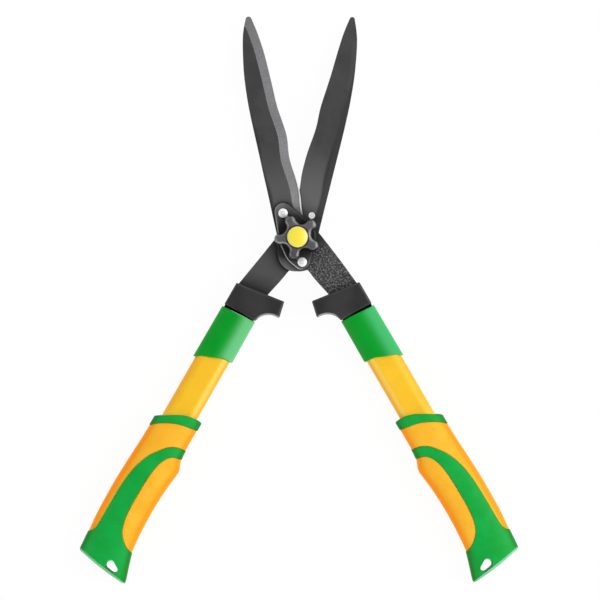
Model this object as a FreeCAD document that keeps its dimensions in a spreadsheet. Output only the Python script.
import FreeCAD, Part
import math
import os
import Sketcher

os.makedirs("parts", exist_ok=True)

# Hedge shears with wavy blades, standing open.  Product frame: origin on the pivot
# axis, in the outer face of the pivot bolt's head.  +X right, +Y towards the blade
# tips, +Z along the pivot axis towards the clamping knob.
#
# Two arms cross at the pivot.  The front arm lies above the shear plane: its blade
# points up and left, its handle down and right.  The rear arm is the same kind of
# arm turned over about the Y axis, so its blade points right and its handle left.
#
# Arm frame: z = 0 in the shear plane, z up on the outer side, blade up and left.
# Handle frame: X towards the other handle, Y away from the pivot, z = 0 in the
# middle of the blade's thickness.

Vector = FreeCAD.Vector
doc = FreeCAD.newDocument("hedge_shears")
sheet = doc.addObject("Spreadsheet::Sheet", "Params")

# ---------------------------------------------------------------- driving dimensions
# Millimetres and degrees; a "round" is a radius.
SIZES = {
    # stack on the pivot axis, heights above or below the shear plane
    "shear_gap": 0.05, "blade_thickness": 3.5, "plate_thickness": 3.0,
    "head_thickness": 4.5, "head_diameter": 22.0, "head_chamfer": 1.0,
    "neck_square": 8.0, "neck_length": 2.9, "neck_root": 0.5,
    "shank_diameter": 8.0, "shank_top": 18.5, "shank_chamfer": 0.9,
    "bush_outer": 12.0, "bush_bevel": 0.3, "plate_bore": 8.2,
    "spring_outer": 18.0, "spring_bore": 8.4, "spring_free": 1.3, "spring_metal": 0.7,
    "washer_outer": 20.0, "washer_bore": 8.3, "washer_thickness": 1.2,
    "washer_bevel": 0.25,
    # knob, its threaded insert and its cap
    "knob_height": 16.0, "knob_lobe_reach": 17.7, "knob_lobe_round": 5.75,
    "knob_valley_round": 6.222, "knob_first_lobe": 42.6, "knob_draft": 4.0,
    "knob_top_round": 3.2, "knob_foot_round": 0.7, "knob_bore": 9.0, "knob_bore_top": 20.6,
    "insert_flats": 13.0, "insert_length": 8.0, "insert_bore": 8.1, "insert_end_gap": 0.1,
    "cap_recess": 22.1, "cap_recess_depth": 3.2, "cap_diameter": 21.4, "cap_rim": 1.9,
    "cap_bevel_width": 0.55, "cap_bevel_height": 0.5, "cap_crown": 1.7,
    # rivets that hold the pivot plates to the blades
    "rivet_head": 9.3, "rivet_rim": 0.35, "rivet_crown": 1.8, "rivet_shank": 6.4,
    "front_rivet_a_x": -14.5, "front_rivet_a_y": 24.0,
    "rear_rivet_a_x": -14.3, "rear_rivet_a_y": 21.8,
    "rivet_b_x": 4.7, "rivet_b_y": -24.9,
    # pivot plates: a belt round four discs
    "plate_hub_round": 18.9, "plate_a_round": 9.3, "plate_b_round": 9.0,
    "plate_cheek_round": 24.6, "plate_cheek_x": 9.8, "plate_cheek_y": -7.9,
    "front_plate_a_x": -13.7, "front_plate_a_y": 25.3,
    "rear_plate_a_x": -13.6, "rear_plate_a_y": 23.2,
    "plate_b_x": 4.4, "plate_b_y": -23.6, "plate_edge_round": 1.7,
    # blades and their tangs
    "front_blade_angle": 12.37, "rear_blade_angle": 13.87,
    "edge_land": 0.7, "bevel_width": 8.9, "hollow_width": 5.2, "hollow_depth": 0.35,
    "tang_flare_end": 74.0, "tang_extension_start": 82.0, "tang_end": 150.0,
    "tang_extension": 22.0, "tang_slot_gap": 0.06, "tang_slot_start": 60.0,
    # handles
    "front_handle_angle": 30.2, "rear_handle_angle": 29.8,
    "front_handle_shift": -0.7, "rear_handle_shift": 0.0, "handle_centre": -13.0,
    "bumper_thickness": 21.0, "bumper_arc_round": 2.6, "bumper_edge_round": 1.3,
    "shoulder_inset": 0.1, "plug_end": 135.0, "plug_fit": 0.05,
    "tube_width": 32.8, "tube_depth": 18.5, "tube_wall": 1.5,
    "collar_end": 94.6, "tube_start": 99.0, "tube_end": 350.0,
    "tang_rivet": 5.0, "tang_rivet_length": 18.3,
    "tang_rivet_first": 105.0, "tang_rivet_second": 128.0,
    "sleeve_width": 36.9, "sleeve_depth": 22.6, "sleeve_fit": 0.08,
    "sleeve_centre": -12.9, "sleeve_edge_round": 0.9,
    "sleeve_block_lead": 3.0, "sleeve_block_length": 70.0,
    "sleeve_bore_lead": 8.0, "sleeve_bore_length": 90.0,
    # grips
    "grip_fit": 0.05, "grip_bore_start": 190.0, "stripe_proud": 0.6, "pad_depth": 2.2,
    "hole_tool_height": 40.0,
    # how far cutters stand clear of a face, and how far joined blocks overlap
    "cut_margin": 1.0, "join_overlap": 1.0,
}
# Sizes that follow from others: the shear plane above the bolt's head, and fits.
SIZES.update({
    "shear_height": SIZES["shear_gap"] + SIZES["blade_thickness"]
                    + SIZES["plate_thickness"] + SIZES["head_thickness"],
    "bush_length": 2 * SIZES["blade_thickness"],
    "bush_bore": SIZES["shank_diameter"] + 0.04,
    "blade_bore_running": SIZES["bush_outer"] + 0.1,
    "blade_bore_fixed": SIZES["bush_outer"] + 0.02,
    "plate_square": SIZES["neck_square"] + 0.1,
    "insert_pocket_flats": SIZES["insert_flats"] + 0.1,
    "rivet_hole": SIZES["rivet_shank"] + 0.1,
    "tang_rivet_hole": SIZES["tang_rivet"] + 0.04,
    "grip_bore_end": SIZES["tube_end"] + 2.0,
})
# Outlines in the handle frame, (x, y).  Each point makes two aliases: NAME_a_x,
# NAME_a_y, NAME_b_x and so on.
OUTLINES = {
    "bumper": [(20.6, 62.4), (24.5, 79.8), (12.3, 82.6), (5.1, 94.0), (-30.2, 94.5),
               (-30.2, 69.7)],
    "hole": [(-3.6, 377.6), (-2.2, 380.8), (2.0, 382.0), (7.3, 382.4), (9.6, 379.7),
             (8.6, 376.7), (4.8, 374.2), (1.0, 372.3), (-2.4, 373.9)],
}
for name, outline in OUTLINES.items():
    for letter, (x, y) in zip("abcdefghi", outline):
        SIZES[f"{name}_{letter}_x"] = x
        SIZES[f"{name}_{letter}_y"] = y

for row, (alias, value) in enumerate(SIZES.items(), 1):
    sheet.set(f"A{row}", alias)
    sheet.set(f"B{row}", repr(value))
    sheet.setAlias(f"B{row}", alias)
doc.recompute()

# Heights above the shear plane, as expressions on the sheet.
BLADE_TOP = "Params.shear_gap + Params.blade_thickness"
SEAT = BLADE_TOP + " + Params.plate_thickness"
WASHER_FOOT = SEAT + " + Params.spring_free"
KNOB_FOOT = WASHER_FOOT + " + Params.washer_thickness"
KNOB_TOP = KNOB_FOOT + " + Params.knob_height"
CAP_FOOT = KNOB_TOP + " - Params.cap_recess_depth"


def get(alias):
    return float(sheet.get(alias))


def value_of(expression):
    """The number an expression on the sheet stands for."""
    for alias in sorted(SIZES, key=len, reverse=True):
        expression = expression.replace("Params." + alias, f"({SIZES[alias]!r})")
    result = sheet.evalExpression(expression)
    return float(getattr(result, "Value", result))


def centre_of(alias):
    """The pair of expressions for a point held on the sheet."""
    return f"Params.{alias}_x", f"Params.{alias}_y"


# ---------------------------------------------------------------- sketches
# Sizes and points in sketches are expressions on the sheet unless said otherwise.
def new_body(name, compound=False):
    body = doc.addObject("PartDesign::Body", name)
    body.Label = name
    if compound:
        body.AllowCompound = True
    return body


def sketch_on(body, name, role="XY_Plane", x=None, z=None):
    """A sketch on one of the body's origin planes; x and z are expressions for the
    attachment offset in the plane's own axes."""
    sketch = body.newObject("Sketcher::SketchObject", name)
    plane = [f for f in body.Origin.OriginFeatures if f.Role == role][0]
    sketch.AttachmentSupport = [(plane, "")]
    sketch.MapMode = "FlatFace"
    for axis, offset in (("x", x), ("z", z)):
        if offset is not None:
            sketch.setExpression(f"AttachmentOffset.Base.{axis}", offset)
    return sketch


def sketch_across(body, name, y):
    """A sketch square to the handle at distance y from the pivot."""
    return sketch_on(body, name, "XZ_Plane", z=f"-({y})")


def bind(sketch, kind, place, expression):
    """A dimensional constraint that follows an expression."""
    i = sketch.addConstraint(Sketcher.Constraint(kind, *place, value_of(expression)))
    name = f"{kind}_{i}"
    sketch.renameConstraint(i, name)
    sketch.setExpression(f"Constraints.{name}", expression)


def bind_point(sketch, geometry, position, point):
    bind(sketch, "DistanceX", (geometry, position), point[0])
    bind(sketch, "DistanceY", (geometry, position), point[1])


def line(start, end):
    return Part.LineSegment(Vector(*start, 0), Vector(*end, 0))


def spline(points):
    curve = Part.BSplineCurve()
    curve.interpolate([Vector(x, y, 0) for x, y in points])
    return curve


def add_arc(sketch, centre, radius, start, end):
    """An anticlockwise arc from the direction of start to that of end, in numbers."""
    angle0 = math.atan2(start[1] - centre[1], start[0] - centre[0])
    angle1 = math.atan2(end[1] - centre[1], end[0] - centre[0])
    while angle1 < angle0:
        angle1 += 2 * math.pi
    ring = Part.Circle(Vector(centre[0], centre[1], 0), Vector(0, 0, 1), radius)
    return sketch.addGeometry(Part.ArcOfCircle(ring, angle0, angle1), False)


def circle(sketch, diameter_alias, centre=None):
    """A circle round the sketch's origin, or round centre."""
    x, y = (value_of(centre[0]), value_of(centre[1])) if centre else (0.0, 0.0)
    ring = Part.Circle(Vector(x, y, 0), Vector(0, 0, 1), get(diameter_alias) / 2)
    geometry = sketch.addGeometry(ring, False)
    bind(sketch, "Radius", (geometry,), f"Params.{diameter_alias} / 2")
    if centre:
        bind_point(sketch, geometry, 3, centre)
    else:
        sketch.addConstraint(Sketcher.Constraint("Coincident", geometry, 3, -1, 1))


def polygon(sketch, corners, arcs=None):
    """A closed outline of straight sides through corners.  arcs turns the side after
    corner i into an arc: {i: (middle point in numbers, radius or None)}."""
    arcs = arcs or {}
    points = [(value_of(x), value_of(y)) for x, y in corners]
    sides = []
    for i, start in enumerate(points):
        end = points[(i + 1) % len(points)]
        if i not in arcs:
            sides.append((sketch.addGeometry(line(start, end), False), 1, 2))
            continue
        middle, radius = arcs[i]
        from_, through, to = (Vector(*point, 0) for point in (start, middle, end))
        ring = Part.Arc(from_, through, to).toShape().Curve
        left_turn = ((through - from_).cross(to - through)).z > 0
        first, last = (start, end) if left_turn else (end, start)
        arc = add_arc(sketch, ring.Center, ring.Radius, first, last)
        sides.append((arc, 1, 2) if left_turn else (arc, 2, 1))
        bind(sketch, "Radius", (arc,), radius or repr(round(ring.Radius, 6)))
    join_ends(sketch, sides)
    for (geometry, start, _), corner in zip(sides, corners):
        bind_point(sketch, geometry, start, corner)


def join_ends(sketch, sides):
    """Closes a loop of (geometry, start position, end position)."""
    for (side, _, end), (following, start, _) in zip(sides, sides[1:] + sides[:1]):
        sketch.addConstraint(Sketcher.Constraint("Coincident", side, end, following, start))


def square(sketch, side_alias):
    low, high = f"-Params.{side_alias} / 2", f"Params.{side_alias} / 2"
    polygon(sketch, [(low, low), (high, low), (high, high), (low, high)])


def hexagon(sketch, flats_alias):
    corner = f"Params.{flats_alias} / sqrt(3)"
    polygon(sketch, [(f"{corner} * cos({60 * k} deg)", f"{corner} * sin({60 * k} deg)")
                     for k in range(6)])


def racetrack(sketch, width, depth, centre="Params.handle_centre"):
    """A flat-sided oval, round at both ends, long side along the sketch's x."""
    centres = [f"({centre}) {sign} (({width}) - ({depth})) / 2" for sign in "-+"]
    low, high = (value_of(x) for x in centres)
    radius = value_of(depth) / 2
    top = sketch.addGeometry(line((high, radius), (low, radius)), False)
    left = add_arc(sketch, (low, 0), radius, (low, radius), (low, -radius))
    bottom = sketch.addGeometry(line((low, -radius), (high, -radius)), False)
    right = add_arc(sketch, (high, 0), radius, (high, -radius), (high, radius))
    sides = [top, left, bottom, right]
    for side, following in zip(sides, sides[1:] + sides[:1]):
        sketch.addConstraint(Sketcher.Constraint("Tangent", side, 2, following, 1))
    for end, x in ((left, centres[0]), (right, centres[1])):
        bind(sketch, "DistanceX", (end, 3), x)
        sketch.addConstraint(Sketcher.Constraint("PointOnObject", end, 3, -1))
    bind(sketch, "Radius", (left,), f"({depth}) / 2")
    sketch.addConstraint(Sketcher.Constraint("Equal", left, right))


# ---------------------------------------------------------------- features
def extrude(body, kind, sketch, length, name, reverse):
    feature = body.newObject(kind, name)
    feature.Profile = sketch
    feature.Type = "Length"
    feature.Reversed = reverse
    feature.setExpression("Length", length)
    return feature


def pad(body, sketch, length, name, reverse=False, taper=None):
    feature = extrude(body, "PartDesign::Pad", sketch, length, name, reverse)
    if taper:
        feature.setExpression("TaperAngle", taper)
    sketch.Visibility = False
    doc.recompute()


def pocket(body, sketch, length, name, reverse=False):
    before = body.Shape.Volume
    extrude(body, "PartDesign::Pocket", sketch, length, name, reverse)
    doc.recompute()
    if not body.Shape.Volume < before - 1e-3:
        raise RuntimeError(f"{name} cuts nothing")


def revolve(body, sketch, name):
    feature = body.newObject("PartDesign::Revolution", name)
    feature.Profile = sketch
    feature.ReferenceAxis = (sketch, ["V_Axis"])
    feature.Angle = 360.0
    doc.recompute()


def fillet(body, name, radius_alias, pick):
    """Rounds the edges of the body's tip that pick() accepts."""
    tip = body.Tip
    names = [f"Edge{i}" for i, edge in enumerate(tip.Shape.Edges, 1) if pick(edge)]
    if not names:
        raise RuntimeError(f"{name} finds no edge")
    feature = body.newObject("PartDesign::Fillet", name)
    feature.Base = (tip, names)
    feature.setExpression("Radius", f"Params.{radius_alias}")
    doc.recompute()


def near(a, b, tolerance=1e-3):
    return abs(a - b) < tolerance


def middle_of(edge):
    return edge.valueAt((edge.FirstParameter + edge.LastParameter) / 2)


def at_height(z):
    """Picks the edges that lie at height z."""
    return lambda edge: (near(middle_of(edge).z, z)
                         and all(near(vertex.Point.z, z) for vertex in edge.Vertexes))


def interpolate(table, x):
    """Smooth value from a table of (x, y) pairs sorted by x: cubic Hermite."""
    if x <= table[0][0]:
        return table[0][1]
    if x >= table[-1][0]:
        return table[-1][1]
    last = len(table) - 1
    k = max(i for i in range(last) if table[i][0] <= x)

    def slope(i):
        before, after = table[max(i - 1, 0)], table[min(i + 1, last)]
        return (after[1] - before[1]) / (after[0] - before[0])

    x0, y0 = table[k]
    x1, y1 = table[k + 1]
    span = x1 - x0
    part = (x - x0) / span
    rest = 1 - part
    return (y0 * (1 + 2 * part) * rest ** 2 + slope(k) * span * part * rest ** 2
            + y1 * part * part * (3 - 2 * part) + slope(k + 1) * span * part * part * (part - 1))


# ---------------------------------------------------------------- placements
SHEAR_PLANE = Vector(0, 0, get("shear_height"))
PLACES = {
    "front": FreeCAD.Placement(SHEAR_PLANE, FreeCAD.Rotation()),
    "rear": FreeCAD.Placement(SHEAR_PLANE, FreeCAD.Rotation(Vector(0, 1, 0), 180)),
}
nodes = []


def keep(piece, placement=PLACES["front"]):
    piece.Placement = placement
    nodes.append(piece)


def handle_placement(arm):
    angle, shift = get(arm + "_handle_angle"), get(arm + "_handle_shift")
    turn = math.radians(angle)
    middle = get("shear_gap") + get("blade_thickness") / 2
    origin = Vector(-shift * math.cos(turn), -shift * math.sin(turn), middle)
    rotation = FreeCAD.Rotation(Vector(0, 0, 1), 180 + angle)
    return PLACES[arm].multiply(FreeCAD.Placement(origin, rotation))


def to_handle(arm, x, y):
    """From the arm frame to the handle frame."""
    turn = math.radians(get(arm + "_handle_angle"))
    return (-x * math.cos(turn) - y * math.sin(turn) - get(arm + "_handle_shift"),
            x * math.sin(turn) - y * math.cos(turn))


def to_arm(arm, x, y):
    """From the handle frame to the arm frame."""
    turn = math.radians(get(arm + "_handle_angle"))
    x += get(arm + "_handle_shift")
    return (-x * math.cos(turn) + y * math.sin(turn), -x * math.sin(turn) - y * math.cos(turn))


# ---------------------------------------------------------------- blades
# edge, spine: (distance along the blade's axis from the pivot, offset across it);
#   the wavy cutting edge is at positive offsets, the spine at negative ones.
# tip: (offset, distance) of a point on the arc that rounds the tip.
# upper, lower, root: (x, y) in the arm frame, along the tang's two edges and where
#   its lower edge leaves the heel.
BLADE = {
    "front": {
        "edge": [
            (19.6, 9.93), (25, 10.15), (30, 10.53), (35, 11.1), (40, 11.65), (45, 11.85),
            (50, 11.7), (55, 11.3), (60, 10.74), (65, 10.1), (70, 9.57), (75, 9.15),
            (80, 9.1), (85, 9.45), (90, 10.03), (95, 10.75), (100, 11.12), (105, 11.05),
            (110, 10.63), (115, 10.1), (120, 9.45), (130, 8.29), (140, 7.84), (150, 7.84),
            (160, 7.69), (170, 7.49), (180, 7.15), (190, 6.64), (200, 5.66), (205, 5.04),
            (210, 4.34), (215, 3.43), (218, 2.83), (221, 2.25), (223.63, 1.73)],
        "spine": [
            (224.29, -3.83), (222, -4.87), (218, -6.66), (215, -7.92), (210, -9.74),
            (205, -11.11), (200, -12.25), (190, -14.22), (180, -16.0), (170, -17.46),
            (160, -18.5), (150, -19.23), (140, -19.76), (130, -20.0), (120, -20.03),
            (110, -19.98), (90, -19.83), (70, -19.85), (50, -19.66), (30, -19.68),
            (8, -19.66)],
        "tip": (-1.15, 226.03),
        "upper": [(21.4, 4.3), (30.4, -7.0), (44.3, -25.2), (57.4, -43.2)],
        "lower": [(23.9, -49.3), (13.7, -37.3)],
        "root": (10.1, -32.9),
    },
    "rear": {
        "edge": [
            (19.55, 10.49), (25, 10.1), (30, 9.7), (35, 9.42), (40, 9.35), (45, 9.45),
            (50, 9.75), (55, 10.3), (60, 10.85), (65, 11.1), (70, 11.15), (75, 11.1),
            (80, 10.95), (85, 10.65), (90, 10.2), (95, 9.65), (100, 9.07), (105, 8.55),
            (110, 8.25), (115, 8.2), (120, 8.4), (125, 8.68), (130, 8.75), (135, 8.6),
            (140, 8.28), (150, 7.5), (160, 6.75), (170, 6.19), (180, 5.83), (190, 5.42),
            (200, 4.84), (205, 4.5), (210, 3.96), (215, 3.28), (218, 2.83), (222, 2.1),
            (224.87, 1.61)],
        "spine": [
            (225.46, -3.32), (222, -4.72), (218, -6.5), (215, -7.63), (210, -9.4),
            (205, -10.83), (200, -11.97), (190, -13.85), (180, -15.46), (170, -16.83),
            (160, -17.81), (150, -18.55), (140, -19.13), (130, -19.45), (120, -19.63),
            (110, -19.74), (90, -19.74), (70, -19.64), (50, -19.57), (30, -19.55),
            (8, -19.55)],
        "tip": (-0.95, 227.0),
        "upper": [(17.2, 5.2), (27.0, -7.5), (41.3, -25.2), (56.2, -43.3)],
        "lower": [(22.1, -49.3), (11.9, -37.6)],
        "root": (7.9, -33.2),
    },
}
# Heel between the spine and the root, the same on both arms: (x, y), arm frame.
HEEL = [(-20.75, -4.0), (-20.3, -14.0), (-18.4, -22.8), (-14.5, -29.1), (-8.9, -33.0),
        (-1.9, -34.3), (4.0, -33.9)]
# Shares of the way from the root to the tang's lower edge, in x and y, of the point
# that shapes the curve between them.
ROOT_BEND = (0.62, 0.56)
# The grind runs out towards the heel: (distance along the blade, value).
BEVEL_WIDTH = [(17.0, 3.0), (24.0, 5.2), (29.0, 7.6), (35.0, get("bevel_width") + 0.2),
               (60.0, get("bevel_width")), (232.0, get("bevel_width"))]
BEVEL_SHARE = [(17.0, 0.02), (20.0, 0.1), (24.0, 0.45), (29.0, 0.85), (35.0, 1.0),
               (232.0, 1.0)]
# From here to the tip the bevel follows a straight line of this slope.
STRAIGHT_FROM = 223.0
STRAIGHT_SLOPE = -0.2


def blade_point(arm, across, along):
    """From blade axes to the arm frame."""
    turn = math.radians(get(arm + "_blade_angle"))
    return (across * math.cos(turn) - along * math.sin(turn),
            across * math.sin(turn) + along * math.cos(turn))


def tang_x(arm, side, y):
    """Handle-frame x, at y, of the straight run of the tang's upper or lower edge."""
    (x0, y0), (x1, y1) = (to_handle(arm, *point) for point in BLADE[arm][side][-2:])
    return x0 + (x1 - x0) * (y - y0) / (y1 - y0)


def tang_outline(arm):
    """The tang inside the handle, in the handle frame, from its upper edge round the
    extension to its lower edge."""
    centre, half = get("handle_centre"), get("tang_extension") / 2
    flare, start, end = get("tang_flare_end"), get("tang_extension_start"), get("tang_end")
    return [(tang_x(arm, "upper", flare), flare), (centre - half, start),
            (centre - half, end), (centre + half, end), (centre + half, start),
            (tang_x(arm, "lower", flare), flare)]


def plate_rivet_circles(sketch, arm):
    circle(sketch, "rivet_hole", centre_of(arm + "_rivet_a"))
    circle(sketch, "rivet_hole", centre_of("rivet_b"))


def make_blade_blank(arm):
    """Flat blade and tang with their holes, before grinding."""
    name, table = arm + "_blade", BLADE[arm]
    body = new_body(name + "_blank")
    sketch = sketch_on(body, name + "_outline", z="Params.shear_gap")
    edge = [blade_point(arm, across, along) for along, across in table["edge"]]
    spine = [blade_point(arm, across, along) for along, across in table["spine"]]
    tip = blade_point(arm, *table["tip"])
    hidden = [to_arm(arm, x, y) for x, y in tang_outline(arm)]
    root = table["root"]
    lower = table["lower"][::-1]
    bend = tuple(a + share * (b - a) for a, b, share in zip(root, lower[0], ROOT_BEND))
    curves = [spline(edge),
              Part.Arc(Vector(*edge[-1], 0), Vector(*tip, 0), Vector(*spine[0], 0)),
              spline(spine),
              spline([spine[-1]] + HEEL + [root]),
              spline([root, bend] + lower + [hidden[-1]])]
    backwards = hidden[::-1]
    curves += [line(a, b) for a, b in zip(backwards, backwards[1:])]
    curves.append(spline([hidden[0]] + table["upper"][::-1] + [edge[0]]))
    # the sketch may store a curve turned round, so each one's start is looked up
    sides, reached = [], Vector(*edge[0], 0)
    for curve in curves:
        index = sketch.addGeometry(curve, False)
        stored = sketch.Geometry[index]
        turned_round = ((stored.StartPoint - reached).Length
                        > (stored.EndPoint - reached).Length)
        sides.append((index, 2, 1) if turned_round else (index, 1, 2))
        reached = stored.StartPoint if turned_round else stored.EndPoint
    join_ends(sketch, sides)
    pad(body, sketch, "Params.blade_thickness", name + "_plate")

    bores = sketch_on(body, name + "_bores", z=BLADE_TOP + " + Params.cut_margin")
    circle(bores, "blade_bore_running" if arm == "front" else "blade_bore_fixed")
    plate_rivet_circles(bores, arm)
    angle = f"Params.{arm}_handle_angle * 1 deg"
    across = f"(Params.handle_centre + Params.{arm}_handle_shift)"
    for which in ("first", "second"):
        along = "Params.tang_rivet_" + which
        circle(bores, "tang_rivet_hole",
               (f"-{across} * cos({angle}) + {along} * sin({angle})",
                f"-{across} * sin({angle}) - {along} * cos({angle})"))
    pocket(body, bores, "Params.blade_thickness + 2 * Params.cut_margin", name + "_holes")
    return body


def stations_between(start, end, count):
    return [start + (end - start) * i / count for i in range(count + 1)]


def wedge(arm, stations, outer, inner, z_outer, z_inner, past_outer, past_inner, z_clear):
    """A lofted cutter along the blade.  At each station its sloping side runs through
    (inner, z_inner) and (outer, z_outer) and on past both; its far side is at z_clear."""
    wires = []
    for along in stations:
        across0, across1 = inner(along), outer(along)
        z1 = z_outer(along)
        slope = (z1 - z_inner) / (across1 - across0)
        start, end = across0 - past_inner, across1 + past_outer
        section = [(start, z_inner - slope * past_inner), (end, z1 + slope * past_outer),
                   (end, z_clear), (start, z_clear)]
        points = [Vector(*blade_point(arm, across, along), z) for across, z in section]
        wires.append(Part.makePolygon(points + points[:1]))
    return Part.makeLoft(wires, True, False)


def make_blade(arm):
    """Blade with a bevel on its outer face along the cutting edge and a shallow hollow
    on its inner face along the spine."""
    blank = make_blade_blank(arm)
    edge_table = BLADE[arm]["edge"]
    spine_table = sorted(BLADE[arm]["spine"])
    floor = get("shear_gap")
    top = floor + get("blade_thickness")
    land = floor + get("edge_land")

    def edge_at(along):
        if along < STRAIGHT_FROM:
            return interpolate(edge_table, along)
        last_along, last_across = edge_table[-1]
        return last_across + STRAIGHT_SLOPE * (along - last_along)

    def spine_at(along):
        return interpolate(spine_table, along)

    bevel = doc.addObject("Part::Feature", arm + "_bevel_cutter")
    bevel.Shape = wedge(
        arm, stations_between(17.5, 229.5, 40), outer=edge_at,
        inner=lambda along: edge_at(along) - interpolate(BEVEL_WIDTH, along),
        z_outer=lambda along: top - (top - land) * interpolate(BEVEL_SHARE, along),
        z_inner=top, past_outer=6.0, past_inner=1.5, z_clear=9.0)
    hollow = doc.addObject("Part::Feature", arm + "_hollow_cutter")
    # the spine is on the negative side, so running past it takes negative lengths
    hollow.Shape = wedge(
        arm, stations_between(26.0, 206.0, 20), outer=spine_at,
        inner=lambda along: spine_at(along) + get("hollow_width"),
        z_outer=lambda along: floor + get("hollow_depth"),
        z_inner=floor, past_outer=-4.0, past_inner=-1.5, z_clear=-4.0)
    bevelled = doc.addObject("Part::Cut", arm + "_blade_bevelled")
    bevelled.Base, bevelled.Tool = blank, bevel
    blade = doc.addObject("Part::Cut", arm + "_blade")
    blade.Label = arm + "_blade"
    blade.Base, blade.Tool = bevelled, hollow
    doc.recompute()
    return blade


# ---------------------------------------------------------------- pivot plates
def belt_normals(discs):
    """Outward normals of the straight runs of a belt drawn anticlockwise round discs
    (x, y, radius); run i goes from disc i to the next."""
    normals = []
    for (x0, y0, r0), (x1, y1, r1) in zip(discs, discs[1:] + discs[:1]):
        length = math.hypot(x1 - x0, y1 - y0)
        dx, dy = (x1 - x0) / length, (y1 - y0) / length
        lean = (r0 - r1) / length
        rest = math.sqrt(1 - lean * lean)
        normals.append((dx * lean + dy * rest, dy * lean - dx * rest))
    return normals


def rim_point(disc, normal):
    x, y, radius = disc
    return x + radius * normal[0], y + radius * normal[1]


def make_plate(arm):
    name = arm + "_plate"
    body = new_body(name)
    sketch = sketch_on(body, name + "_outline", z=BLADE_TOP)
    # (centre alias, radius alias); None is the pivot axis
    rounds = [(arm + "_plate_a", "plate_a_round"), (None, "plate_hub_round"),
              ("plate_cheek", "plate_cheek_round"), ("plate_b", "plate_b_round"),
              (None, "plate_hub_round")]
    discs = [(get(at + "_x") if at else 0.0, get(at + "_y") if at else 0.0, get(radius))
             for at, radius in rounds]
    normals = belt_normals(discs)
    count = len(discs)
    arcs = [add_arc(sketch, disc, disc[2], rim_point(disc, normals[i - 1]),
                    rim_point(disc, normals[i]))
            for i, disc in enumerate(discs)]
    runs = [sketch.addGeometry(line(rim_point(discs[i], normals[i]),
                                    rim_point(discs[(i + 1) % count], normals[i])), False)
            for i in range(count)]
    for i in range(count):
        following = arcs[(i + 1) % count]
        sketch.addConstraint(Sketcher.Constraint("Tangent", arcs[i], 2, runs[i], 1))
        sketch.addConstraint(Sketcher.Constraint("Tangent", runs[i], 2, following, 1))
    for arc, (at, radius) in zip(arcs, rounds):
        bind(sketch, "Radius", (arc,), "Params." + radius)
        if at:
            bind_point(sketch, arc, 3, centre_of(at))
        else:
            sketch.addConstraint(Sketcher.Constraint("Coincident", arc, 3, -1, 1))
    pad(body, sketch, "Params.plate_thickness", name + "_blank")
    fillet(body, name + "_round", "plate_edge_round", at_height(value_of(SEAT)))

    holes = sketch_on(body, name + "_holes", z=SEAT + " + Params.cut_margin")
    if arm == "front":
        circle(holes, "plate_bore")
    else:
        square(holes, "plate_square")
    plate_rivet_circles(holes, arm)
    pocket(body, holes, "Params.plate_thickness + 2 * Params.cut_margin", name + "_pocket")
    return body


def dome(radius, foot, rise):
    """Arc of a spherical dome's half section, as polygon() takes it."""
    radius_now, foot_now, rise_now = (value_of(size) for size in (radius, foot, rise))
    sphere = (radius_now * radius_now + rise_now * rise_now) / (2 * rise_now)
    half = math.asin(radius_now / sphere) / 2
    middle = (sphere * math.sin(half), foot_now + rise_now - sphere + sphere * math.cos(half))
    return middle, f"(({radius}) ^ 2 + ({rise}) ^ 2) / (2 * ({rise}))"


def make_plate_rivets(arm):
    """Two rivets through plate and blade: a low dome outside, flush at the blade's
    inner face."""
    name = arm + "_plate_rivets"
    body = new_body(name, compound=True)
    foot, rim = "Params.shear_gap", SEAT + " + Params.rivet_rim"
    shank, head = "Params.rivet_shank / 2", "Params.rivet_head / 2"
    for tag, at in (("a", arm + "_rivet_a"), ("b", "rivet_b")):
        x, y = centre_of(at)
        sketch = sketch_on(body, f"{name}_{tag}", "XZ_Plane", x=x, z="-" + y)
        section = [("0", foot), (shank, foot), (shank, SEAT), (head, SEAT), (head, rim),
                   ("0", SEAT + " + Params.rivet_crown")]
        polygon(sketch, section, {4: dome(head, rim, "Params.rivet_crown - Params.rivet_rim")})
        revolve(body, sketch, f"{name}_{tag}_turned")
    return body


# ---------------------------------------------------------------- pivot hardware
def turned(name, section, arcs=None):
    """A piece turned about the pivot axis, from its half section (radius, height)."""
    body = new_body(name)
    sketch = sketch_on(body, name + "_section", "XZ_Plane")
    polygon(sketch, section, arcs)
    revolve(body, sketch, name + "_turned")
    return body


def turned_ring(name, part, foot, height):
    """A ring with both outer rims bevelled; part is the prefix of its aliases."""
    outer, bore, bevel = f"Params.{part}_outer / 2", f"Params.{part}_bore / 2", f"Params.{part}_bevel"
    top = f"{foot} + {height}"
    return turned(name, [
        (bore, foot), (f"{outer} - {bevel}", foot), (outer, f"{foot} + {bevel}"),
        (outer, f"{top} - {bevel}"), (f"{outer} - {bevel}", top), (bore, top)])


def make_bolt():
    """Flat round head behind the rear plate, square neck in the plate's square hole,
    plain shank up into the knob's insert."""
    head, shank = "Params.head_diameter / 2", "Params.shank_diameter / 2"
    head_top = f"-({SEAT})"
    head_foot = head_top + " - Params.head_thickness"
    bolt = turned("pivot_bolt", [
        ("0", head_foot), (head + " - Params.head_chamfer", head_foot),
        (head, head_foot + " + Params.head_chamfer"), (head, head_top), (shank, head_top),
        (shank, "Params.shank_top - Params.shank_chamfer"),
        (shank + " - Params.shank_chamfer", "Params.shank_top"), ("0", "Params.shank_top")])
    neck = sketch_on(bolt, "pivot_bolt_neck", z=head_top + " - Params.neck_root")
    square(neck, "neck_square")
    pad(bolt, neck, "Params.neck_length + Params.neck_root", "pivot_bolt_square")
    return bolt


def make_bush():
    """Pressed into the rear blade; the front blade turns on it."""
    return turned_ring("pivot_bush", "bush", f"-({BLADE_TOP})", "Params.bush_length")


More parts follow.
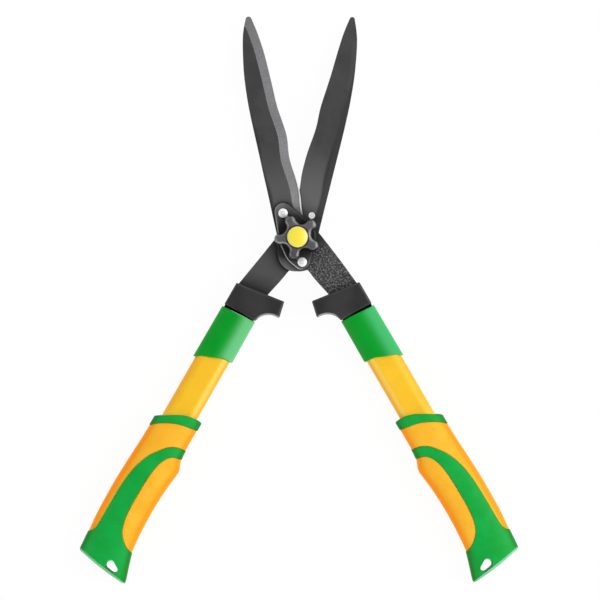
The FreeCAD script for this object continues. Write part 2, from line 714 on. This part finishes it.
def make_disc_spring():
    """A coned washer on the front plate, hollow side down."""
    outer, bore = "Params.spring_outer / 2", "Params.spring_bore / 2"
    return turned("disc_spring", [
        (bore, WASHER_FOOT + " - Params.spring_metal"), (outer, SEAT),
        (outer, SEAT + " + Params.spring_metal"), (bore, WASHER_FOOT)])


def make_thrust_washer():
    return turned_ring("thrust_washer", "washer", WASHER_FOOT, "Params.washer_thickness")


def polar(radius, degrees):
    angle = math.radians(degrees)
    return radius * math.cos(angle), radius * math.sin(angle)


def between(start, end, share):
    return tuple(a + (b - a) * share for a, b in zip(start, end))


def knob_outline(sketch):
    """Five round lobes joined by hollow valleys, tangent throughout."""
    reach, first = get("knob_lobe_reach"), get("knob_first_lobe")
    lobe_round, valley_round = get("knob_lobe_round"), get("knob_valley_round")
    lobes = [polar(reach, first + 72 * k) for k in range(5)]
    # distance of the valley circles from the axis, from tangency with the lobes
    foot = reach * math.cos(math.radians(36))
    valley_reach = foot + math.sqrt(foot ** 2 - (reach ** 2 - (lobe_round + valley_round) ** 2))
    valleys = [polar(valley_reach, first + 36 + 72 * k) for k in range(5)]
    share = lobe_round / (lobe_round + valley_round)
    # valley k touches lobe k in leaving[k] and the next lobe in entering[k]
    leaving = [between(lobes[k], valleys[k], share) for k in range(5)]
    entering = [between(lobes[(k + 1) % 5], valleys[k], share) for k in range(5)]
    arcs = []
    for k in range(5):
        lobe = add_arc(sketch, lobes[k], lobe_round, entering[k - 1], leaving[k])
        valley = add_arc(sketch, valleys[k], valley_round, entering[k], leaving[k])
        arcs.append((lobe, valley))
    for (lobe, valley), (next_lobe, _) in zip(arcs, arcs[1:] + arcs[:1]):
        sketch.addConstraint(Sketcher.Constraint("Tangent", lobe, 2, valley, 2))
        sketch.addConstraint(Sketcher.Constraint("Tangent", valley, 1, next_lobe, 1))
    for k, (lobe, valley) in enumerate(arcs):
        angle = f"(Params.knob_first_lobe + {72 * k}) * 1 deg"
        bind(sketch, "Radius", (lobe,), "Params.knob_lobe_round")
        bind_point(sketch, lobe, 3, (f"Params.knob_lobe_reach * cos({angle})",
                                     f"Params.knob_lobe_reach * sin({angle})"))
        bind(sketch, "Radius", (valley,), "Params.knob_valley_round")


def make_knob():
    """Drafted knob with a cap recess on top and a hexagonal seat and bore below."""
    knob = new_body("knob")
    outline = sketch_on(knob, "knob_outline", z=KNOB_FOOT)
    knob_outline(outline)
    pad(knob, outline, "Params.knob_height", "knob_blank", taper="-Params.knob_draft")
    fillet(knob, "knob_top_edge", "knob_top_round", at_height(value_of(KNOB_TOP)))
    fillet(knob, "knob_foot_edge", "knob_foot_round", at_height(value_of(KNOB_FOOT)))
    recess = sketch_on(knob, "knob_recess", z=KNOB_TOP)
    circle(recess, "cap_recess")
    pocket(knob, recess, "Params.cap_recess_depth", "knob_cap_seat")
    seat = sketch_on(knob, "knob_hex", z=KNOB_FOOT)
    hexagon(seat, "insert_pocket_flats")
    pocket(knob, seat, "Params.insert_length + Params.insert_end_gap", "knob_hex_seat",
           reverse=True)
    bore = sketch_on(knob, "knob_shaft", z=KNOB_FOOT)
    circle(bore, "knob_bore")
    pocket(knob, bore, f"Params.knob_bore_top - ({KNOB_FOOT})", "knob_shaft_room",
           reverse=True)
    return knob


def make_insert():
    """Hexagonal insert in the knob's seat, with a plain bore for the shank."""
    insert = new_body("knob_insert")
    outline = sketch_on(insert, "insert_outline", z=KNOB_FOOT)
    hexagon(outline, "insert_flats")
    circle(outline, "insert_bore")
    pad(insert, outline, "Params.insert_length", "insert_blank")
    return insert


def make_cap():
    """Cap in the knob's recess: a shallow dome with a short bevelled rim."""
    outer = "Params.cap_diameter / 2"
    rim = CAP_FOOT + " + Params.cap_rim"
    dome_radius, dome_foot = outer + " - Params.cap_bevel_width", rim + " + Params.cap_bevel_height"
    section = [("0", CAP_FOOT), (outer, CAP_FOOT), (outer, rim), (dome_radius, dome_foot),
               ("0", dome_foot + " + Params.cap_crown")]
    return turned("knob_cap", section, {3: dome(dome_radius, dome_foot, "Params.cap_crown")})


# ---------------------------------------------------------------- handles
# Curves across the handle that end the sleeve, (x, y) in the handle frame, and how
# far along the handle the material beyond each one is cut away.
SLEEVE_START = [(12.0, 93.75), (5.2, 94.55), (-12.0, 95.6), (-31.3, 96.9), (-40.0, 97.5)]
SLEEVE_START_CUT = 85.0
SLEEVE_END = [(12.0, 141.4), (5.6, 142.0), (-5.0, 142.9), (-15.0, 147.0), (-25.0, 151.0),
              (-31.6, 155.5), (-40.0, 161.0)]
SLEEVE_END_CUT = 175.0


def tang_rivet_circles(sketch, diameter_alias):
    for which in ("first", "second"):
        circle(sketch, diameter_alias, ("Params.handle_centre", "Params.tang_rivet_" + which))


def drill_for_tang_rivets(body, name, depth):
    holes = sketch_on(body, name + "_rivet_holes", z=f"{depth} / 2 + Params.cut_margin")
    tang_rivet_circles(holes, "tang_rivet_hole")
    pocket(body, holes, f"{depth} + 2 * Params.cut_margin", name + "_rivet_pocket")


def tang_slot(arm, body, name):
    """Room for the tang through the bumper and its plug."""
    gap = get("tang_slot_gap")
    half = "(Params.tang_extension / 2 + Params.tang_slot_gap)"
    low, high = f"Params.handle_centre - {half}", f"Params.handle_centre + {half}"

    def flare(side, y_alias, allowance):
        return repr(tang_x(arm, side, get(y_alias)) + allowance), "Params." + y_alias

    slot = sketch_on(body, name + "_slot",
                     z="Params.blade_thickness / 2 + Params.tang_slot_gap")
    polygon(slot, [
        flare("upper", "tang_slot_start", -gap), flare("upper", "tang_flare_end", -gap),
        (low, "Params.tang_extension_start"), (low, "Params.tang_end"),
        (high, "Params.tang_end"), (high, "Params.tang_extension_start"),
        flare("lower", "tang_flare_end", gap), flare("lower", "tang_slot_start", gap)])
    pocket(body, slot, "Params.blade_thickness + 2 * Params.tang_slot_gap",
           name + "_tang_slot")


def make_bumper(arm, name):
    """Collar between tang and tube.  Its nose meets the other arm's nose when the
    blades are closed; a plug of it fills the tube's mouth round the tang."""
    body = new_body(name)
    outline = sketch_on(body, name + "_outline", z="-Params.bumper_thickness / 2")
    # the side from b to d is an arc through c
    through = (get("bumper_c_x"), get("bumper_c_y"))
    polygon(outline, [centre_of("bumper_" + k) for k in "abdef"], {1: (through, None)})
    pad(body, outline, "Params.bumper_thickness", name + "_block")
    half = get("bumper_thickness") / 2

    def upright(edge):
        return (near(middle_of(edge).z, 0, 0.01) and edge.Curve.TypeId == "Part::GeomLine"
                and edge.Length > 2 * half - 0.1)

    def on_arc(edge):
        return (near(abs(middle_of(edge).z), half)
                and edge.Curve.TypeId == "Part::GeomCircle" and edge.Curve.Radius > 10)

    fillet(body, name + "_corners", "bumper_edge_round", upright)
    fillet(body, name + "_arc_round", "bumper_arc_round", on_arc)
    shoulder = sketch_across(body, name + "_shoulder",
                             "Params.collar_end - Params.join_overlap")
    racetrack(shoulder, "Params.tube_width - Params.shoulder_inset",
              "Params.tube_depth - Params.shoulder_inset")
    pad(body, shoulder, "Params.tube_start - Params.collar_end + Params.join_overlap",
        name + "_shoulder_pad", reverse=True)
    plug = sketch_across(body, name + "_plug", "Params.tube_start - Params.join_overlap")
    racetrack(plug, "Params.tube_width - 2 * Params.tube_wall - 2 * Params.plug_fit",
              "Params.tube_depth - 2 * Params.tube_wall - 2 * Params.plug_fit")
    pad(body, plug, "Params.plug_end - Params.tube_start + Params.join_overlap",
        name + "_plug_pad", reverse=True)
    tang_slot(arm, body, name)
    drill_for_tang_rivets(body, name, "Params.bumper_thickness")
    return body


def make_tube(name):
    body = new_body(name)
    section = sketch_across(body, name + "_section", "Params.tube_start")
    racetrack(section, "Params.tube_width", "Params.tube_depth")
    racetrack(section, "Params.tube_width - 2 * Params.tube_wall",
              "Params.tube_depth - 2 * Params.tube_wall")
    pad(body, section, "Params.tube_end - Params.tube_start", name + "_drawn", reverse=True)
    drill_for_tang_rivets(body, name, "Params.tube_depth")
    return body


def make_tang_rivets(name):
    """Two plain pins through tube, plug and tang."""
    body = new_body(name, compound=True)
    sketch = sketch_on(body, name + "_circles", z="-Params.tang_rivet_length / 2")
    tang_rivet_circles(sketch, "tang_rivet")
    pad(body, sketch, "Params.tang_rivet_length", name + "_pins")
    return body


def cut_sleeve_beyond(body, name, curve, y_far):
    """Cuts the sleeve away between a curve across the handle and y_far."""
    sketch = sketch_on(body, name, z="Params.sleeve_depth / 2 + Params.cut_margin")
    start, end = curve[0], curve[-1]
    far_start, far_end = (start[0], y_far), (end[0], y_far)
    sides = [sketch.addGeometry(side, False) for side in (
        spline(curve), line(end, far_end), line(far_end, far_start), line(far_start, start))]
    join_ends(sketch, [(side, 1, 2) for side in sides])
    for kind, side in (("Vertical", sides[1]), ("Vertical", sides[3]), ("Horizontal", sides[2])):
        sketch.addConstraint(Sketcher.Constraint(kind, side))
    pocket(body, sketch, "Params.sleeve_depth + 2 * Params.cut_margin", name + "_pocket")


def make_sleeve(name):
    """Oval sleeve round the start of the tube; its front end is the one nearer the
    pivot."""
    body = new_body(name)
    section = sketch_across(body, name + "_section",
                            "Params.collar_end - Params.sleeve_block_lead")
    racetrack(section, "Params.sleeve_width", "Params.sleeve_depth", "Params.sleeve_centre")
    pad(body, section, "Params.sleeve_block_length", name + "_block", reverse=True)
    cut_sleeve_beyond(body, name + "_front_end", SLEEVE_START, SLEEVE_START_CUT)
    cut_sleeve_beyond(body, name + "_back_end", SLEEVE_END, SLEEVE_END_CUT)

    def on_rim(edge):
        long_across = edge.Length > 8 and not near(edge.BoundBox.YLength, edge.Length, 1.0)
        return long_across or edge.Curve.TypeId != "Part::GeomLine"

    fillet(body, name + "_rims", "sleeve_edge_round", on_rim)
    bore = sketch_across(body, name + "_bore", "Params.collar_end - Params.sleeve_bore_lead")
    racetrack(bore, "Params.tube_width + 2 * Params.sleeve_fit",
              "Params.tube_depth + 2 * Params.sleeve_fit")
    pocket(body, bore, "Params.sleeve_bore_length", name + "_through")
    return body


# ---------------------------------------------------------------- grips
# Grip outline, (y, value) in the handle frame: x of the side towards the other
# handle, x of the side away from it, and half thickness.
GRIP_INNER = [
    (205, 8.9), (222, 8.9), (240, 8.9), (246, 9.1), (251, 9.7), (256, 11.1), (259.5, 12.7),
    (263, 13.4), (267, 13.2), (272, 12.6), (283, 11.3), (300, 10.3), (315, 10.1),
    (330, 10.5), (345, 11.5), (356, 13.0), (364, 15.2), (373, 18.0), (381, 20.6),
    (388, 22.4), (396, 24.5)]
GRIP_OUTER = [
    (205, -34.9), (228, -34.9), (238, -35.1), (250, -35.4), (265, -36.2), (285, -37.2),
    (300, -37.7), (320, -37.6), (340, -37.0), (358, -35.4), (368, -34.7), (380, -33.7),
    (388, -32.8), (396, -31.7)]
GRIP_HALF = [
    (205, 12.0), (222, 12.4), (240, 13.0), (256, 13.7), (275, 14.3), (300, 14.6),
    (325, 14.5), (345, 14.1), (365, 13.6), (380, 13.0), (396, 12.4)]
GRIP_STATIONS = [205.0, 218, 232, 244, 252, 257, 262, 268, 278, 295, 315, 335, 350, 362,
                 375, 388, 396.0]
SECTION_POINTS = 20
SECTION_EXPONENT = 2.45  # of the superellipse; 2 would be an ellipse

# Curves seen square to the handle, (x, y) in the handle frame.
# The grip's end nearer the pivot and its far end:
GRIP_MOUTH = [
    (16.0, 209.3), (9.5, 209.0), (0.0, 208.7), (-10.0, 211.1), (-20.0, 216.1),
    (-30.0, 222.1), (-36.0, 226.1), (-44.0, 231.6)]
GRIP_BUTT = [
    (30.0, 387.2), (21.0, 387.0), (10.0, 385.8), (0.0, 384.6), (-15.0, 382.6),
    (-30.0, 380.3), (-42.0, 378.9)]
# The outer pad's end nearer the pivot, and its long border:
OUTER_PAD_START = [
    (16.0, 217.3), (9.0, 218.1), (0.0, 219.1), (-10.0, 221.1), (-20.0, 225.2),
    (-30.0, 231.3), (-35.0, 236.3), (-42.0, 243.3)]
OUTER_PAD_BORDER = [
    (18.0, 239.4), (9.0, 240.9), (0.0, 242.5), (-8.0, 247.0), (-15.0, 255.2),
    (-20.0, 262.4), (-24.0, 271.5), (-27.0, 281.6), (-29.0, 294.8), (-30.0, 310.0),
    (-30.1, 330.0), (-30.2, 345.0), (-31.4, 352.8), (-35.5, 358.6), (-44.0, 363.6)]
# The palm pad's border, open towards the other handle:
PALM_PAD_BORDER = [
    (18.0, 250.5), (9.5, 251.1), (3.0, 252.1), (-1.7, 255.1), (-6.3, 262.2), (-8.9, 271.5),
    (-10.4, 285.0), (-10.8, 300.0), (-10.9, 315.0), (-10.2, 325.0), (-8.4, 335.0),
    (-4.8, 344.0), (0.6, 350.0), (6.2, 354.0), (13.0, 356.2), (18.0, 356.8)]
ZONE_HALF_HEIGHT = 25


def grip_solid(extra):
    """A loft through superellipse sections; extra grows or shrinks every section."""
    power = 2 / SECTION_EXPONENT
    wires = []
    for y in GRIP_STATIONS:
        inner, outer = interpolate(GRIP_INNER, y), interpolate(GRIP_OUTER, y)
        centre = (inner + outer) / 2
        half_width = (inner - outer) / 2 + extra
        half_depth = interpolate(GRIP_HALF, y) + extra
        points = []
        for k in range(SECTION_POINTS):
            angle = 2 * math.pi * k / SECTION_POINTS
            across, up = (math.copysign(abs(part) ** power, part)
                          for part in (math.cos(angle), math.sin(angle)))
            points.append(Vector(centre + half_width * across, y, half_depth * up))
        curve = Part.BSplineCurve()
        # the same parameters on every section keep the lofted surface light
        curve.interpolate(Points=points, PeriodicFlag=True,
                          Parameters=[k / SECTION_POINTS for k in range(SECTION_POINTS + 1)])
        wires.append(Part.Wire([curve.toShape()]))
    return Part.makeLoft(wires, True, False)


def zone(*runs):
    """An upright block over a closed outline.  Each run is a spline through its
    points, or a corner if it has just one; straight lines join the runs."""
    curves = []
    for run, following in zip(runs, runs[1:] + runs[:1]):
        if len(run) > 1:
            curves.append(spline(run))
        curves.append(line(run[-1], following[0]))
    face = Part.Face(Part.Wire([curve.toShape() for curve in curves]))
    face.translate(Vector(0, 0, -ZONE_HALF_HEIGHT))
    return face.extrude(Vector(0, 0, 2 * ZONE_HALF_HEIGHT))


def grip_shapes():
    """The moulded core, standing proud of the pads, then the outer and palm pads."""
    full = grip_solid(get("stripe_proud"))
    level = grip_solid(0.0)
    deep = grip_solid(-get("pad_depth"))
    before_mouth = zone(GRIP_MOUTH, [(-44.0, 195.0)], [(16.0, 195.0)])
    beyond_butt = zone(GRIP_BUTT, [(-42.0, 405.0)], [(30.0, 405.0)])
    outer_zone = zone(OUTER_PAD_START, [(-60.0, 300.0)], OUTER_PAD_BORDER[::-1])
    palm_zone = zone(PALM_PAD_BORDER, [(40.0, 356.8)], [(40.0, 251.4)])
    whole = full.cut(before_mouth).cut(beyond_butt)
    outer_room, palm_room = outer_zone.cut(deep), palm_zone.cut(deep)
    core = whole.cut(outer_room).cut(palm_room)
    return core, level.common(outer_room), level.common(palm_room)


def make_grip(side, core, outer_pad, palm_pad):
    """Core with the tube's bore and a small hole through its far end, and two pads."""
    moulded = doc.addObject("Part::Feature", side + "_grip_moulded")
    moulded.Shape = core.copy()
    bore_tool = new_body(side + "_grip_bore_tool")
    section = sketch_across(bore_tool, side + "_grip_bore_section", "Params.grip_bore_start")
    racetrack(section, "Params.tube_width + 2 * Params.grip_fit",
              "Params.tube_depth + 2 * Params.grip_fit")
    pad(bore_tool, section, "Params.grip_bore_end - Params.grip_bore_start",
        side + "_grip_bore_pad", reverse=True)
    hole_tool = new_body(side + "_grip_hole_tool")
    section = sketch_on(hole_tool, side + "_grip_hole_section",
                        z="-Params.hole_tool_height / 2")
    loop = Part.BSplineCurve()
    loop.interpolate([Vector(get(f"hole_{k}_x"), get(f"hole_{k}_y"), 0)
                      for k in "abcdefghi"], True)
    section.addGeometry(loop, False)
    pad(hole_tool, section, "Params.hole_tool_height", side + "_grip_hole_pad")
    bored = doc.addObject("Part::Cut", side + "_grip_bored")
    bored.Base, bored.Tool = moulded, bore_tool
    bored.Refine = False
    finished = doc.addObject("Part::Cut", side + "_grip_core")
    finished.Label = side + "_grip_core"
    finished.Base, finished.Tool = bored, hole_tool
    finished.Refine = False
    doc.recompute()
    pieces = [finished]
    for tag, shape in (("outer", outer_pad), ("palm", palm_pad)):
        piece = doc.addObject("Part::Feature", f"{side}_grip_{tag}_pad")
        piece.Label = f"{side}_grip_{tag}_pad"
        piece.Shape = shape.copy()
        pieces.append(piece)
    return pieces


# ---------------------------------------------------------------- assembly
for arm in ("front", "rear"):
    keep(make_blade(arm), PLACES[arm])
for arm in ("front", "rear"):
    keep(make_plate(arm), PLACES[arm])
    keep(make_plate_rivets(arm), PLACES[arm])
for make in (make_bolt, make_bush, make_disc_spring, make_thrust_washer, make_knob,
             make_insert, make_cap):
    keep(make())
shapes = grip_shapes()
for arm, side in (("front", "right"), ("rear", "left")):
    place = handle_placement(arm)
    keep(make_bumper(arm, side + "_bumper"), place)
    keep(make_tube(side + "_tube"), place)
    keep(make_tang_rivets(side + "_tang_rivets"), place)
    keep(make_sleeve(side + "_sleeve"), place)
    for piece in make_grip(side, *shapes):
        keep(piece, place)

doc.recompute()
bad = [o.Name for o in doc.Objects if "Invalid" in o.State or "Error" in o.State]
if bad:
    raise RuntimeError("objects in error: " + ", ".join(bad))
for node in nodes:
    if node.Shape.isNull() or not node.Shape.isValid() or not node.Shape.Solids:
        raise RuntimeError(f"{node.Label} has no valid solid")
for node in nodes:
    node.Shape.exportStep(f"parts/{node.Label}.step")
